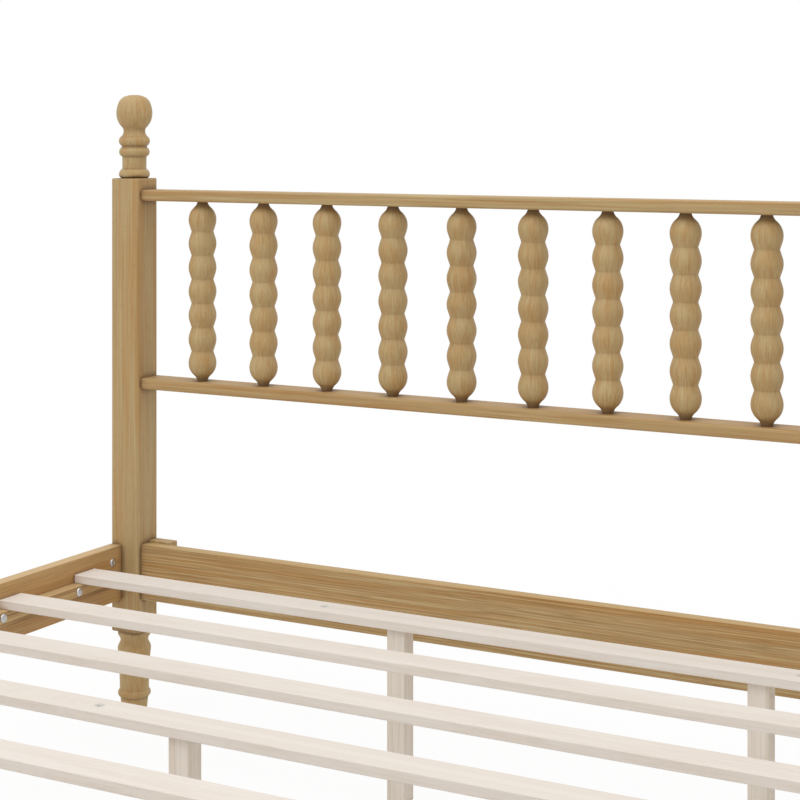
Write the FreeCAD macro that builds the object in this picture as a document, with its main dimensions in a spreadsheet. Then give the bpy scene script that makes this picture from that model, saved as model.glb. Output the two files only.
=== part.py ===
import FreeCAD, Part
import math
import os

import Sketcher
from FreeCAD import Vector

# Spindle bed, full size. The origin is on the floor under the middle of the bed:
# +X runs across to the right seen from the foot end, +Y runs to the headboard, +Z is up.

PLAIN_SIZES = {
    # posts: a square block over a turned foot
    "post_side": 45.5,
    "post_round": 4.0,             # rounding of the long edges
    "post_top_round": 1.5,
    "post_span_across": 1398.0,    # centre to centre
    "post_span_along": 1987.0,     # centre to centre
    "head_post_top": 741.0,
    # thin rails of headboard and footboard
    "thin_rail_depth": 40.0,
    "thin_rail_height": 15.0,
    "thin_rail_round": 4.0,
    "rail_set_back": 6.75,         # from the post's inner face towards the bed to the rails' faces
    "top_rail_drop": 15.5,         # post top down to the top rail's upper face
    "spindle_gap": 242.0,          # headboard: between the two thin rails
    "rail_tenon_depth": 28.0,
    "rail_tenon_height": 8.0,
    "rail_tenon_length": 18.0,
    # bead-turned spindles
    "spindle_count": 13,
    "spindle_end_reach": 88.25,    # from the posts' faces to the middle of the first spindle
    "head_bead_count": 7,
    "foot_bead_count": 3,
    "bead_radius": 18.75,
    "bead_crest_swell": 0.375,
    "bead_flank_radius": 17.27,    # where the round crest runs out into a straight flank
    "bead_flank_height": 8.45,
    "valley_radius": 14.75,
    "bead_pitch": 32.3,
    "bead_shoulder_radius": 12.6,
    "bead_shoulder_height": 15.2,
    "bead_shoulder_swell": 1.6,
    "neck_flare_radius": 10.2,
    "neck_flare_height": 17.4,
    "neck_flare_swell": 0.6,
    "neck_radius": 6.9,
    "spindle_tenon_radius": 5.0,
    "spindle_tenon_length": 9.0,
    # footboard
    "foot_lower_rail_gap": 26.0,   # bed rail's top up to the footboard's lower rail
    # bed-level boards
    "end_rail_top": 241.5,
    "end_rail_height": 75.0,
    "end_rail_thickness": 18.0,
    "side_rail_drop": 2.0,         # side rails sit this much under the end rails
    "side_rail_height": 75.0,
    "side_rail_thickness": 18.0,
    "board_round": 2.0,
    # cleats behind the end rails
    "cleat_length": 35.0,
    "cleat_thickness": 18.0,
    "cleat_rise": 2.5,             # over the end rail's top
    "cleat_height": 72.0,
    "cleat_round": 1.0,
    # slats, their ledgers and legs
    "slat_count": 13,
    "slat_end_reach": 82.15,       # from the posts' faces to the middle of the first slat
    "slat_width": 41.5,
    "slat_thickness": 11.0,
    "slat_top": 220.5,
    "slat_round": 2.5,
    "slat_end_gap": 1.0,
    "ledger_width": 16.0,
    "ledger_height": 20.0,
    "ledger_end_gap": 30.0,        # from the posts' faces
    "ledger_round": 1.5,
    "leg_side": 24.0,
    "leg_round": 2.0,
    "leg_offset": 223.8,           # from the middle of the bed
    "leg_row_step": 3,             # every third slat has legs
    "insert_left": 330.0,          # flush insert nuts in the slats over the legs, from the middle
    "insert_right": 268.3,
    # fasteners
    "fit_clearance": 0.2,
    "hole_end_gap": 1.0,
    "rail_bolt_radius": 3.0,
    "rail_bolt_head_radius": 6.5,
    "rail_bolt_head_height": 4.0,
    "rail_bolt_head_depth": 5.0,   # counterbore in the post
    "rail_bolt_spread": 28.0,      # between the two bolts of a joint
    "rail_bolt_raise": 3.0,        # over the middle of the side rail
    "barrel_nut_radius": 5.75,
    "barrel_nut_length": 15.5,
    "barrel_nut_set_in": 19.4,     # from the side rail's end
    "barrel_nut_proud": 1.0,
    "barrel_nut_crown": 0.9,
    "ledger_bolt_radius": 3.0,
    "ledger_bolt_length": 28.0,
    "ledger_bolt_head_radius": 5.75,
    "ledger_bolt_head_height": 2.6,
    "ledger_bolt_crown": 1.8,
    "ledger_bolt_drop": 8.0,       # under the ledger's top
    "ledger_bolt_offset": 29.5,    # from each slat's middle towards the foot
    "cleat_screw_radius": 2.0,
    "cleat_screw_head_radius": 3.9,
    "cleat_screw_head_height": 2.2,
    "cleat_screw_head_depth": 2.4, # counterbore in the cleat
    "cleat_rail_screw_length": 30.0,
    "cleat_post_screw_length": 52.0,
    "cleat_rail_screw_edge": 14.0, # from the cleat's top and bottom
    "cleat_post_screw_edge": 26.0,
    "cleat_rail_screw_in": 21.0,   # from the post's face
    "insert_radius": 5.25,
    "insert_length": 9.0,
    "insert_bore_radius": 3.0,
    "leg_stud_radius": 3.0,
    "leg_stud_length": 30.0,
    "leg_stud_in_slat": 8.0,
    "finial_stud_radius": 3.0,
    "finial_stud_length": 40.0,
    "finial_stud_in_post": 20.0,
}

# Turned outlines from bottom to top: name, radius, height, and how far the side that
# leads to the next point swells out of a straight line (a hollow is negative).
FINIAL_OUTLINE = (
    ("seat", 14.8, 0.0, 1.95),
    ("base_ring", 21.1, 5.2, 1.4),
    ("stem_foot", 16.45, 12.8, 0.0),
    ("stem_head", 16.6, 29.6, 3.9),
    ("groove_foot", 17.4, 42.4, 0.0),
    ("groove_head", 17.1, 44.3, 3.25),
    ("upper_bead", 18.9, 56.8, -1.15),
    ("neck", 14.9, 64.8, -0.7),
    ("ball_foot", 17.0, 70.2, 1.95),
    ("ball", 24.65, 89.2, 0.8),
    ("ball_shoulder", 21.5, 104.2, 1.85),
    ("ball_crown", 9.8, 113.4, 0.3),
    ("top_flat", 3.0, 114.5, 0.0),
)

FOOT_OUTLINE = (
    ("floor", 16.1, 0.0, 0.0),
    ("ring_foot", 19.0, 28.0, 3.0),
    ("ring_head", 19.8, 38.4, -0.4),
    ("taper_head", 22.1, 89.2, 0.15),
    ("belly", 22.8, 95.2, 0.42),
    ("waist", 20.2, 102.0, -1.75),
    ("flare", 21.1, 111.8, 0.35),
    ("flare_rim", 22.5, 116.5, 0.0),
    ("shoulder", 21.4, 120.0, 0.0),
)


class Size:
    """A number together with the sheet expression that gives it."""

    def __init__(self, value, text):
        self.value = value
        self.text = text

    def __add__(self, other):
        other = as_size(other)
        return Size(self.value + other.value, f"({self.text} + {other.text})")

    def __sub__(self, other):
        other = as_size(other)
        return Size(self.value - other.value, f"({self.text} - {other.text})")

    def __mul__(self, other):
        other = as_size(other)
        return Size(self.value * other.value, f"({self.text} * {other.text})")

    def __truediv__(self, other):
        other = as_size(other)
        return Size(self.value / other.value, f"({self.text} / {other.text})")

    def __neg__(self):
        return Size(-self.value, f"(0 - {self.text})")


def as_size(number):
    if isinstance(number, Size):
        return number
    return Size(number, repr(number))


def fill_sheet(doc):
    """Write every driving size into the sheet and return them by name."""
    cells = dict(PLAIN_SIZES)
    for kind, outline in (("finial", FINIAL_OUTLINE), ("foot", FOOT_OUTLINE)):
        for point, radius, height, swell in outline:
            cells[f"{kind}_{point}_radius"] = radius
            cells[f"{kind}_{point}_height"] = height
            cells[f"{kind}_{point}_swell"] = swell
    sheet = doc.addObject("Spreadsheet::Sheet", "Sizes")
    for row, (name, value) in enumerate(cells.items(), start=1):
        sheet.set(f"A{row}", name)
        sheet.set(f"B{row}", str(value))
        sheet.setAlias(f"B{row}", name)
    doc.recompute()
    return {name: Size(sheet.get(name), f"Sizes.{name}") for name in cells}


doc = FreeCAD.newDocument("SpindleBed")
size = fill_sheet(doc)
subparts = []


def bind(item, prop, value):
    item.setExpression(prop, as_size(value).text)


def place(body, x=0, y=0, z=0):
    for axis, value in (("x", x), ("y", y), ("z", z)):
        bind(body, f"Placement.Base.{axis}", value)


def new_body(label):
    body = doc.addObject("PartDesign::Body", label)
    body.Label = label
    body.AllowCompound = True
    subparts.append(body)
    return body


def origin_item(body, role):
    return next(item for item in body.Origin.OriginFeatures if item.Role == role)


def new_sketch(body, name, role, x=0, y=0, off=0):
    """A sketch on one of the body's own planes, moved by x, y in the plane and off along its normal."""
    sketch = body.newObject("Sketcher::SketchObject", name)
    sketch.AttachmentSupport = (origin_item(body, role), [""])
    sketch.MapMode = "FlatFace"
    for axis, value in (("x", x), ("y", y), ("z", off)):
        bind(sketch, f"AttachmentOffset.Base.{axis}", value)
    return sketch


def add_dimension(sketch, value, kind, *where):
    value = as_size(value)
    number = sketch.addConstraint(Sketcher.Constraint(kind, *where, value.value))
    sketch.setExpression(f"Constraints[{number}]", value.text)


def draw_rectangle(sketch, width, height):
    """A rectangle about the sketch's origin."""
    half_w = width.value / 2
    half_h = height.value / 2
    corners = [Vector(-half_w, -half_h, 0), Vector(half_w, -half_h, 0),
               Vector(half_w, half_h, 0), Vector(-half_w, half_h, 0)]
    first = sketch.GeometryCount
    for index in range(4):
        sketch.addGeometry(Part.LineSegment(corners[index], corners[(index + 1) % 4]))
    for index in range(4):
        follower = first + (index + 1) % 4
        sketch.addConstraint(Sketcher.Constraint("Coincident", first + index, 2, follower, 1))
    for index, kind in enumerate(("Horizontal", "Vertical", "Horizontal", "Vertical")):
        sketch.addConstraint(Sketcher.Constraint(kind, first + index))
    sketch.addConstraint(Sketcher.Constraint("Symmetric", first, 1, first + 2, 1, -1, 1))
    add_dimension(sketch, width, "Distance", first)
    add_dimension(sketch, height, "Distance", first + 1)


def draw_circle(sketch, radius, up=0):
    """A circle on the sketch's vertical axis."""
    up = as_size(up)
    number = sketch.addGeometry(Part.Circle(Vector(0, up.value, 0), Vector(0, 0, 1), radius.value))
    if up.value == 0:
        sketch.addConstraint(Sketcher.Constraint("Coincident", number, 3, -1, 1))
    else:
        sketch.addConstraint(Sketcher.Constraint("PointOnObject", number, 3, -2))
        add_dimension(sketch, up, "DistanceY", -1, 1, number, 3)
    add_dimension(sketch, radius, "Radius", number)


def pin_point(sketch, number, end, corner):
    across, up = corner
    if across.value == 0:
        sketch.addConstraint(Sketcher.Constraint("PointOnObject", number, end, -2))
    else:
        add_dimension(sketch, across, "DistanceX", -1, 1, number, end)
    if up.value == 0:
        sketch.addConstraint(Sketcher.Constraint("PointOnObject", number, end, -1))
    else:
        add_dimension(sketch, up, "DistanceY", -1, 1, number, end)


def draw_outline(sketch, corners):
    """A closed outline run anticlockwise: corners are (across, up, swell to the next corner)."""
    points = [(as_size(across), as_size(up)) for across, up, swell in corners]
    starts = []
    for index, (across, up, swell) in enumerate(corners):
        swell = as_size(swell)
        near = points[index]
        far = points[(index + 1) % len(points)]
        begin = Vector(near[0].value, near[1].value, 0)
        finish = Vector(far[0].value, far[1].value, 0)
        if swell.value == 0:
            starts.append((sketch.addGeometry(Part.LineSegment(begin, finish)), 1, 2))
            continue
        step_x = far[0] - near[0]
        step_y = far[1] - near[1]
        reach = swell if swell.value > 0 else -swell
        radius = (step_x * step_x + step_y * step_y) / (reach * 8) + reach / 2
        chord = finish - begin
        left = Vector(-chord.y, chord.x, 0).normalize()
        turn_sign = 1 if swell.value > 0 else -1
        centre = (begin + finish) * 0.5 + left * (turn_sign * (radius.value - reach.value))
        first, last = (begin, finish) if turn_sign > 0 else (finish, begin)
        angles = [math.atan2(end.y - centre.y, end.x - centre.x) for end in (first, last)]
        circle = Part.Circle(centre, Vector(0, 0, 1), radius.value)
        number = sketch.addGeometry(Part.ArcOfCircle(circle, *angles))
        starts.append((number, 1, 2) if turn_sign > 0 else (number, 2, 1))
        add_dimension(sketch, radius, "Radius", number)
    for index, (number, start, end) in enumerate(starts):
        follower = starts[(index + 1) % len(starts)]
        sketch.addConstraint(Sketcher.Constraint("Coincident", number, end, follower[0], follower[1]))
        pin_point(sketch, number, start, points[index])


def extrude(body, kind, sketch, length, symmetric=False, back=False):
    feature = body.newObject(f"PartDesign::{kind}", kind)
    feature.Profile = sketch
    bind(feature, "Length", length)
    if symmetric:
        feature.SideType = "Symmetric"
    feature.Reversed = back
    sketch.Visibility = False
    body.Tip = feature
    return feature


def cut(body, sketch, depth, symmetric=False, back=False):
    """Cut against the sketch's normal, or along it when back is set. It has to remove something."""
    doc.recompute()
    before = body.Shape.Volume
    feature = extrude(body, "Pocket", sketch, depth, symmetric, back)
    doc.recompute()
    if body.Shape.Volume >= before:
        raise RuntimeError(f"{body.Label}: {feature.Name} removes nothing")
    return feature


def turn(body, sketch, axis="V_Axis"):
    feature = body.newObject("PartDesign::Revolution", "Turning")
    feature.Profile = sketch
    feature.ReferenceAxis = (sketch, [axis])
    body.Tip = feature
    return feature


def copy_feature(body, kind, name, features):
    """A pattern or mirror of the named features, or of the whole shape when none are named."""
    doc.recompute()
    copies = body.newObject(f"PartDesign::{kind}", name)
    if features:
        copies.Originals = features
    else:
        copies.TransformMode = "Whole shape"
    body.Tip = copies
    return copies


def repeat(body, features, role, count, length, back=False):
    """Repeat along one of the body's axes."""
    pattern = copy_feature(body, "LinearPattern", "Row", features)
    pattern.Direction = (origin_item(body, role), [""])
    pattern.Reversed = back
    bind(pattern, "Length", length)
    bind(pattern, "Occurrences", count)


def mirror(body, features, role):
    copies = copy_feature(body, "Mirrored", "Mirror", features)
    copies.MirrorPlane = (origin_item(body, role), [""])


def round_edges(body, radius, chosen):
    """Round the edges of the body's last feature for which chosen(edge) is true."""
    doc.recompute()
    base = body.Tip
    names = [f"Edge{number}" for number, edge in enumerate(base.Shape.Edges, start=1) if chosen(edge)]
    feature = body.newObject("PartDesign::Fillet", "Rounding")
    feature.Base = (base, names)
    bind(feature, "Radius", radius)
    body.Tip = feature
    return feature


def runs_along(axis):
    """True for straight edges that run along X, Y or Z."""
    def chosen(edge):
        if not isinstance(edge.Curve, Part.Line):
            return False
        return abs(getattr(edge.Curve.Direction, axis)) > 0.999
    return chosen


def is_circle_at(x):
    """True for round edges whose centre lies at the given x."""
    def chosen(edge):
        return isinstance(edge.Curve, Part.Circle) and abs(edge.Curve.Center.x - x.value) < 0.01
    return chosen


def outline_points(kind):
    source = {"finial": FINIAL_OUTLINE, "foot": FOOT_OUTLINE}[kind]
    return [tuple(size[f"{kind}_{row[0]}_{part}"] for part in ("radius", "height", "swell"))
            for row in source]


# Places and sizes that several sub-parts share
clearance = size["fit_clearance"]
post_half = size["post_side"] / 2
post_x = size["post_span_across"] / 2
post_y = size["post_span_along"] / 2
clear_across = size["post_span_across"] - size["post_side"]
clear_along = size["post_span_along"] - size["post_side"]
foot_height = size["foot_shoulder_height"]
rail_face_y = post_y - post_half + size["rail_set_back"]
thin_rail_y = rail_face_y + size["thin_rail_depth"] / 2
end_rail_y = rail_face_y + size["end_rail_thickness"] / 2
cleat_y = rail_face_y + size["end_rail_thickness"] + size["cleat_thickness"] / 2
end_rail_z = size["end_rail_top"] - size["end_rail_height"] / 2
side_rail_x = post_x + post_half - size["side_rail_thickness"] / 2
side_rail_inner_x = post_x + post_half - size["side_rail_thickness"]
side_rail_z = size["end_rail_top"] - size["side_rail_drop"] - size["side_rail_height"] / 2
low_bolt_z = side_rail_z + size["rail_bolt_raise"] - size["rail_bolt_spread"] / 2
slat_underside = size["slat_top"] - size["slat_thickness"]
cleat_top = size["end_rail_top"] + size["cleat_rise"]
cleat_z = cleat_top - size["cleat_height"] / 2
rail_screw_reach = size["cleat_height"] / 2 - size["cleat_rail_screw_edge"]
post_screw_reach = size["cleat_height"] / 2 - size["cleat_post_screw_edge"]

half_rail = size["thin_rail_height"] / 2
head_top_rail_z = size["head_post_top"] - size["top_rail_drop"] - half_rail
head_lower_rail_z = head_top_rail_z - size["thin_rail_height"] - size["spindle_gap"]
bead_run_step = size["bead_pitch"]
taper_length = (size["spindle_gap"] - bead_run_step * (size["head_bead_count"] - 1)) / 2
foot_spindle_gap = bead_run_step * (size["foot_bead_count"] - 1) + taper_length * 2
foot_lower_rail_z = size["end_rail_top"] + size["foot_lower_rail_gap"] + half_rail
foot_top_rail_z = foot_lower_rail_z + size["thin_rail_height"] + foot_spindle_gap
foot_post_top = foot_top_rail_z + half_rail + size["top_rail_drop"]

slat_run = clear_along - size["slat_end_reach"] * 2
slat_pitch = slat_run / (size["slat_count"] - 1)
first_slat_y = slat_run / 2
spindle_run = clear_across - size["spindle_end_reach"] * 2
spindle_spacing = spindle_run / (size["spindle_count"] - 1)
leg_row_pitch = slat_pitch * size["leg_row_step"]
leg_row_count = int((size["slat_count"].value - 1) // size["leg_row_step"].value) + 1
leg_slats = [1 + row * int(size["leg_row_step"].value) for row in range(leg_row_count)]
leg_run = leg_row_pitch * (leg_row_count - 1)

ENDS = (("head", 1, size["head_post_top"], (head_top_rail_z, head_lower_rail_z)),
        ("foot", -1, foot_post_top, (foot_top_rail_z, foot_lower_rail_z)))
SIDES = (("left", -1), ("right", 1))


def make_post(label, side, end, top, rail_heights):
    """side is -1 left or 1 right, end is 1 head or -1 foot; the body's origin is at its foot."""
    body = new_body(label)
    block = new_sketch(body, "BlockSection", "XY_Plane", off=foot_height)
    draw_rectangle(block, size["post_side"], size["post_side"])
    extrude(body, "Pad", block, top - foot_height)
    round_edges(body, size["post_round"], runs_along("z"))
    block_top = top.value
    round_edges(body, size["post_top_round"],
                lambda edge: all(abs(v.Point.z - block_top) < 0.01 for v in edge.Vertexes))
    outline = new_sketch(body, "FootOutline", "XZ_Plane")
    draw_outline(outline, [(0, 0, 0)] + outline_points("foot") + [(0, foot_height, 0)])
    turn(body, outline)

    inner_face = post_half * (-side)
    rail_offset = (thin_rail_y - post_y) * end
    for height in rail_heights:
        mortise = new_sketch(body, "RailMortise", "YZ_Plane", x=rail_offset, y=height, off=inner_face)
        draw_rectangle(mortise, size["rail_tenon_depth"] + clearance * 2,
                       size["rail_tenon_height"] + clearance * 2)
        cut(body, mortise, size["rail_tenon_length"] + size["hole_end_gap"], back=side > 0)

    cleat_hole = new_sketch(body, "CleatScrewHoles", "YZ_Plane",
                            x=(cleat_y - post_y) * end, y=cleat_z - post_screw_reach, off=inner_face)
    draw_circle(cleat_hole, size["cleat_screw_radius"])
    draw_circle(cleat_hole, size["cleat_screw_radius"], post_screw_reach * 2)
    cut(body, cleat_hole, size["cleat_post_screw_length"] - size["cleat_length"] + size["hole_end_gap"],
        back=side > 0)

    bolt_x = (side_rail_x - post_x) * side
    bolt_hole = new_sketch(body, "RailBoltHoles", "XZ_Plane", x=bolt_x, y=low_bolt_z)
    draw_circle(bolt_hole, size["rail_bolt_radius"] + clearance)
    draw_circle(bolt_hole, size["rail_bolt_radius"] + clearance, size["rail_bolt_spread"])
    cut(body, bolt_hole, size["post_side"] * 2, symmetric=True)
    recess = new_sketch(body, "BoltHeadRecess", "XZ_Plane", x=bolt_x, y=low_bolt_z, off=post_half * (-end))
    draw_circle(recess, size["rail_bolt_head_radius"] + clearance)
    draw_circle(recess, size["rail_bolt_head_radius"] + clearance, size["rail_bolt_spread"])
    cut(body, recess, size["rail_bolt_head_depth"], back=end > 0)

    stud_hole = new_sketch(body, "FinialStudHole", "XY_Plane", off=top)
    draw_circle(stud_hole, size["finial_stud_radius"])
    cut(body, stud_hole, size["finial_stud_in_post"] + size["hole_end_gap"])
    place(body, post_x * side, post_y * end)


def make_finial(label, side, end, top):
    body = new_body(label)
    outline = new_sketch(body, "FinialOutline", "XZ_Plane")
    stud_depth = size["finial_stud_length"] - size["finial_stud_in_post"] + size["hole_end_gap"]
    corners = [(size["finial_stud_radius"], 0, 0)] + outline_points("finial")
    corners += [(0, size["finial_top_flat_height"], 0), (0, stud_depth, 0),
                (size["finial_stud_radius"], stud_depth, 0)]
    draw_outline(outline, corners)
    turn(body, outline)
    place(body, post_x * side, post_y * end, top)


def make_finial_studs():
    body = new_body("finial_studs")
    for end_name, end, top, rails in ENDS:
        section = new_sketch(body, "StudSection", "XY_Plane", x=post_x, y=post_y * end,
                             off=top - size["finial_stud_in_post"])
        draw_circle(section, size["finial_stud_radius"])
        extrude(body, "Pad", section, size["finial_stud_length"])
    mirror(body, [], "YZ_Plane")


def make_thin_rail(label, end, height, spindles_above):
    """A rounded rail with a tenon at each end and a row of round sockets for the spindles."""
    body = new_body(label)
    section = new_sketch(body, "RailSection", "YZ_Plane")
    draw_rectangle(section, size["thin_rail_depth"], size["thin_rail_height"])
    extrude(body, "Pad", section, clear_across, symmetric=True)
    round_edges(body, size["thin_rail_round"], runs_along("x"))
    tenon = new_sketch(body, "TenonSection", "YZ_Plane")
    draw_rectangle(tenon, size["rail_tenon_depth"], size["rail_tenon_height"])
    extrude(body, "Pad", tenon, clear_across + size["rail_tenon_length"] * 2, symmetric=True)
    direction = 1 if spindles_above else -1
    socket = new_sketch(body, "SpindleSocket", "XY_Plane", x=-(spindle_run / 2), off=half_rail * direction)
    draw_circle(socket, size["spindle_tenon_radius"] + clearance)
    first = cut(body, socket, size["spindle_tenon_length"] + size["hole_end_gap"], back=not spindles_above)
    repeat(body, [first], "X_Axis", size["spindle_count"], spindle_run)
    place(body, 0, thin_rail_y * end, height)


def turn_spindle(body, bead_count, x=0):
    """Beads between two tapered necks, each neck ending in a round tenon; centred on the origin."""
    half_run = bead_run_step * (bead_count - 1) / 2
    beads = new_sketch(body, "BeadOutline", "XZ_Plane", x=x, y=-half_run)
    # from the middle of one bead over the valley to the middle of the next
    draw_outline(beads, [
        (0, 0, 0),
        (size["bead_radius"], 0, size["bead_crest_swell"]),
        (size["bead_flank_radius"], size["bead_flank_height"], 0),
        (size["valley_radius"], size["bead_pitch"] / 2, 0),
        (size["bead_flank_radius"], size["bead_pitch"] - size["bead_flank_height"], size["bead_crest_swell"]),
        (size["bead_radius"], size["bead_pitch"], 0),
        (0, size["bead_pitch"], 0),
    ])
    first = turn(body, beads)
    repeat(body, [first], "Z_Axis", bead_count - 1, bead_run_step * (bead_count - 2))
    tenon_top = taper_length + size["spindle_tenon_length"]
    taper = new_sketch(body, "NeckOutline", "XZ_Plane", x=x, y=half_run)
    draw_outline(taper, [
        (0, 0, 0),
        (size["bead_radius"], 0, size["bead_shoulder_swell"]),
        (size["bead_shoulder_radius"], size["bead_shoulder_height"], 0),
        (size["neck_flare_radius"], size["neck_flare_height"], -size["neck_flare_swell"]),
        (size["neck_radius"], taper_length, 0),
        (size["spindle_tenon_radius"], taper_length, 0),
        (size["spindle_tenon_radius"], tenon_top, 0),
        (0, tenon_top, 0),
    ])
    neck = turn(body, taper)
    mirror(body, [neck], "XY_Plane")


def make_head_spindle(number):
    body = new_body(f"headboard_spindle_{number:02d}")
    turn_spindle(body, size["head_bead_count"])
    x = spindle_spacing * (number - 1) - spindle_run / 2
    z = head_lower_rail_z + half_rail + size["spindle_gap"] / 2
    place(body, x, thin_rail_y, z)


def make_foot_spindles():
    body = new_body("footboard_spindles")
    turn_spindle(body, size["foot_bead_count"])
    repeat(body, [], "X_Axis", size["spindle_count"], spindle_run)
    z = foot_lower_rail_z + half_rail + foot_spindle_gap / 2
    place(body, -(spindle_run / 2), -thin_rail_y, z)


def make_board(label, role, width, height, length, radius):
    """A straight board with rounded long edges, its section on the given plane."""
    body = new_body(label)
    section = new_sketch(body, "BoardSection", role)
    draw_rectangle(section, width, height)
    extrude(body, "Pad", section, length, symmetric=True)
    along = {"YZ_Plane": "x", "XZ_Plane": "y"}[role]
    round_edges(body, radius, runs_along(along))
    return body


def make_end_rail(label, end):
    thickness = size["end_rail_thickness"]
    body = make_board(label, "YZ_Plane", thickness, size["end_rail_height"], clear_across,
                      size["board_round"])
    back_face = thickness / 2 * (-end)
    holes = new_sketch(body, "CleatScrewHoles", "XZ_Plane", x=clear_across / 2 - size["cleat_rail_screw_in"],
                       y=cleat_z - end_rail_z - rail_screw_reach, off=back_face)
    draw_circle(holes, size["cleat_screw_radius"])
    draw_circle(holes, size["cleat_screw_radius"], rail_screw_reach * 2)
    depth = size["cleat_rail_screw_length"] - size["cleat_thickness"] + size["hole_end_gap"]
    first = cut(body, holes, depth, back=end > 0)
    mirror(body, [first], "YZ_Plane")
    place(body, 0, end_rail_y * end, end_rail_z)


def make_side_rail(label, side):
    thickness = size["side_rail_thickness"]
    body = make_board(label, "XZ_Plane", thickness, size["side_rail_height"], clear_along,
                      size["board_round"])
    low = low_bolt_z - side_rail_z
    bores = new_sketch(body, "BoltBores", "XZ_Plane", y=low, off=-(clear_along / 2))
    draw_circle(bores, size["rail_bolt_radius"] + clearance)
    draw_circle(bores, size["rail_bolt_radius"] + clearance, size["rail_bolt_spread"])
    depth = size["barrel_nut_set_in"] + size["barrel_nut_radius"] + size["rail_bolt_radius"]
    mirror(body, [cut(body, bores, depth, back=True)], "XZ_Plane")

    inner_face = thickness / 2 * (-side)
    nuts = new_sketch(body, "BarrelNutHoles", "YZ_Plane", x=clear_along / 2 - size["barrel_nut_set_in"],
                      y=low, off=inner_face)
    draw_circle(nuts, size["barrel_nut_radius"] + clearance)
    draw_circle(nuts, size["barrel_nut_radius"] + clearance, size["rail_bolt_spread"])
    depth = size["barrel_nut_length"] - size["barrel_nut_proud"] + size["hole_end_gap"]
    mirror(body, [cut(body, nuts, depth, back=side > 0)], "XZ_Plane")

    height = slat_underside - size["ledger_bolt_drop"] - side_rail_z
    screws = new_sketch(body, "LedgerBoltHoles", "YZ_Plane", x=first_slat_y - size["ledger_bolt_offset"],
                        y=height, off=inner_face)
    draw_circle(screws, size["ledger_bolt_radius"])
    depth = size["ledger_bolt_length"] - size["ledger_width"] + size["hole_end_gap"]
    first = cut(body, screws, depth, back=side > 0)
    repeat(body, [first], "Y_Axis", size["slat_count"], slat_run, back=True)
    place(body, side_rail_x * side, 0, side_rail_z)


def make_ledger(label, side):
    length = clear_along - size["ledger_end_gap"] * 2
    body = make_board(label, "XZ_Plane", size["ledger_width"], size["ledger_height"], length,
                      size["ledger_round"])
    holes = new_sketch(body, "BoltHoles", "YZ_Plane", x=first_slat_y - size["ledger_bolt_offset"],
                       y=size["ledger_height"] / 2 - size["ledger_bolt_drop"])
    draw_circle(holes, size["ledger_bolt_radius"] + clearance)
    first = cut(body, holes, size["ledger_width"] * 2, symmetric=True)
    repeat(body, [first], "Y_Axis", size["slat_count"], slat_run, back=True)
    place(body, (side_rail_inner_x - size["ledger_width"] / 2) * side, 0,
          slat_underside - size["ledger_height"] / 2)


def make_slat(number):
    """Slat 1 is nearest to the headboard. Slats over legs carry stud holes and insert nuts."""
    length = (side_rail_inner_x - size["slat_end_gap"]) * 2
    body = make_board(f"slat_{number:02d}", "YZ_Plane", size["slat_width"], size["slat_thickness"],
                      length, size["slat_round"])
    half = size["slat_thickness"] / 2
    if number in leg_slats:
        studs = new_sketch(body, "StudHole", "XY_Plane", x=size["leg_offset"], off=-half)
        draw_circle(studs, size["leg_stud_radius"])
        mirror(body, [cut(body, studs, size["leg_stud_in_slat"], back=True)], "YZ_Plane")
        for side, distance in ((-1, size["insert_left"]), (1, size["insert_right"])):
            socket = new_sketch(body, "InsertHole", "XY_Plane", x=distance * side, off=half)
            draw_circle(socket, size["insert_radius"])
            cut(body, socket, size["insert_length"])
    place(body, 0, first_slat_y - slat_pitch * (number - 1), size["slat_top"] - half)


def make_legs(row):
    """The two legs under one slat."""
    body = new_body(f"support_legs_{row + 1}")
    section = new_sketch(body, "LegSection", "XY_Plane", x=size["leg_offset"])
    draw_rectangle(section, size["leg_side"], size["leg_side"])
    extrude(body, "Pad", section, slat_underside)
    round_edges(body, size["leg_round"], runs_along("z"))
    hole = new_sketch(body, "StudHole", "XY_Plane", x=size["leg_offset"], off=slat_underside)
    draw_circle(hole, size["leg_stud_radius"])
    cut(body, hole, size["leg_stud_length"] - size["leg_stud_in_slat"] + size["hole_end_gap"])
    mirror(body, [], "YZ_Plane")
    place(body, 0, first_slat_y - leg_row_pitch * row)


def make_leg_studs():
    body = new_body("leg_studs")
    low = slat_underside + size["leg_stud_in_slat"] - size["leg_stud_length"]
    section = new_sketch(body, "StudSection", "XY_Plane", x=size["leg_offset"], y=leg_run / 2, off=low)
    draw_circle(section, size["leg_stud_radius"])
    extrude(body, "Pad", section, size["leg_stud_length"])
    mirror(body, [], "YZ_Plane")
    repeat(body, [], "Y_Axis", leg_row_count, leg_run, back=True)


def make_insert_nuts():
    """Flush steel insert nuts in the slats over the legs."""
    body = new_body("slat_insert_nuts")
    for side, distance in ((-1, size["insert_left"]), (1, size["insert_right"])):
        section = new_sketch(body, "InsertSection", "XY_Plane", x=distance * side, y=leg_run / 2,
                             off=size["slat_top"] - size["insert_length"])
        draw_circle(section, size["insert_radius"])
        draw_circle(section, size["insert_bore_radius"])
        extrude(body, "Pad", section, size["insert_length"])
    repeat(body, [], "Y_Axis", leg_row_count, leg_run, back=True)


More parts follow.
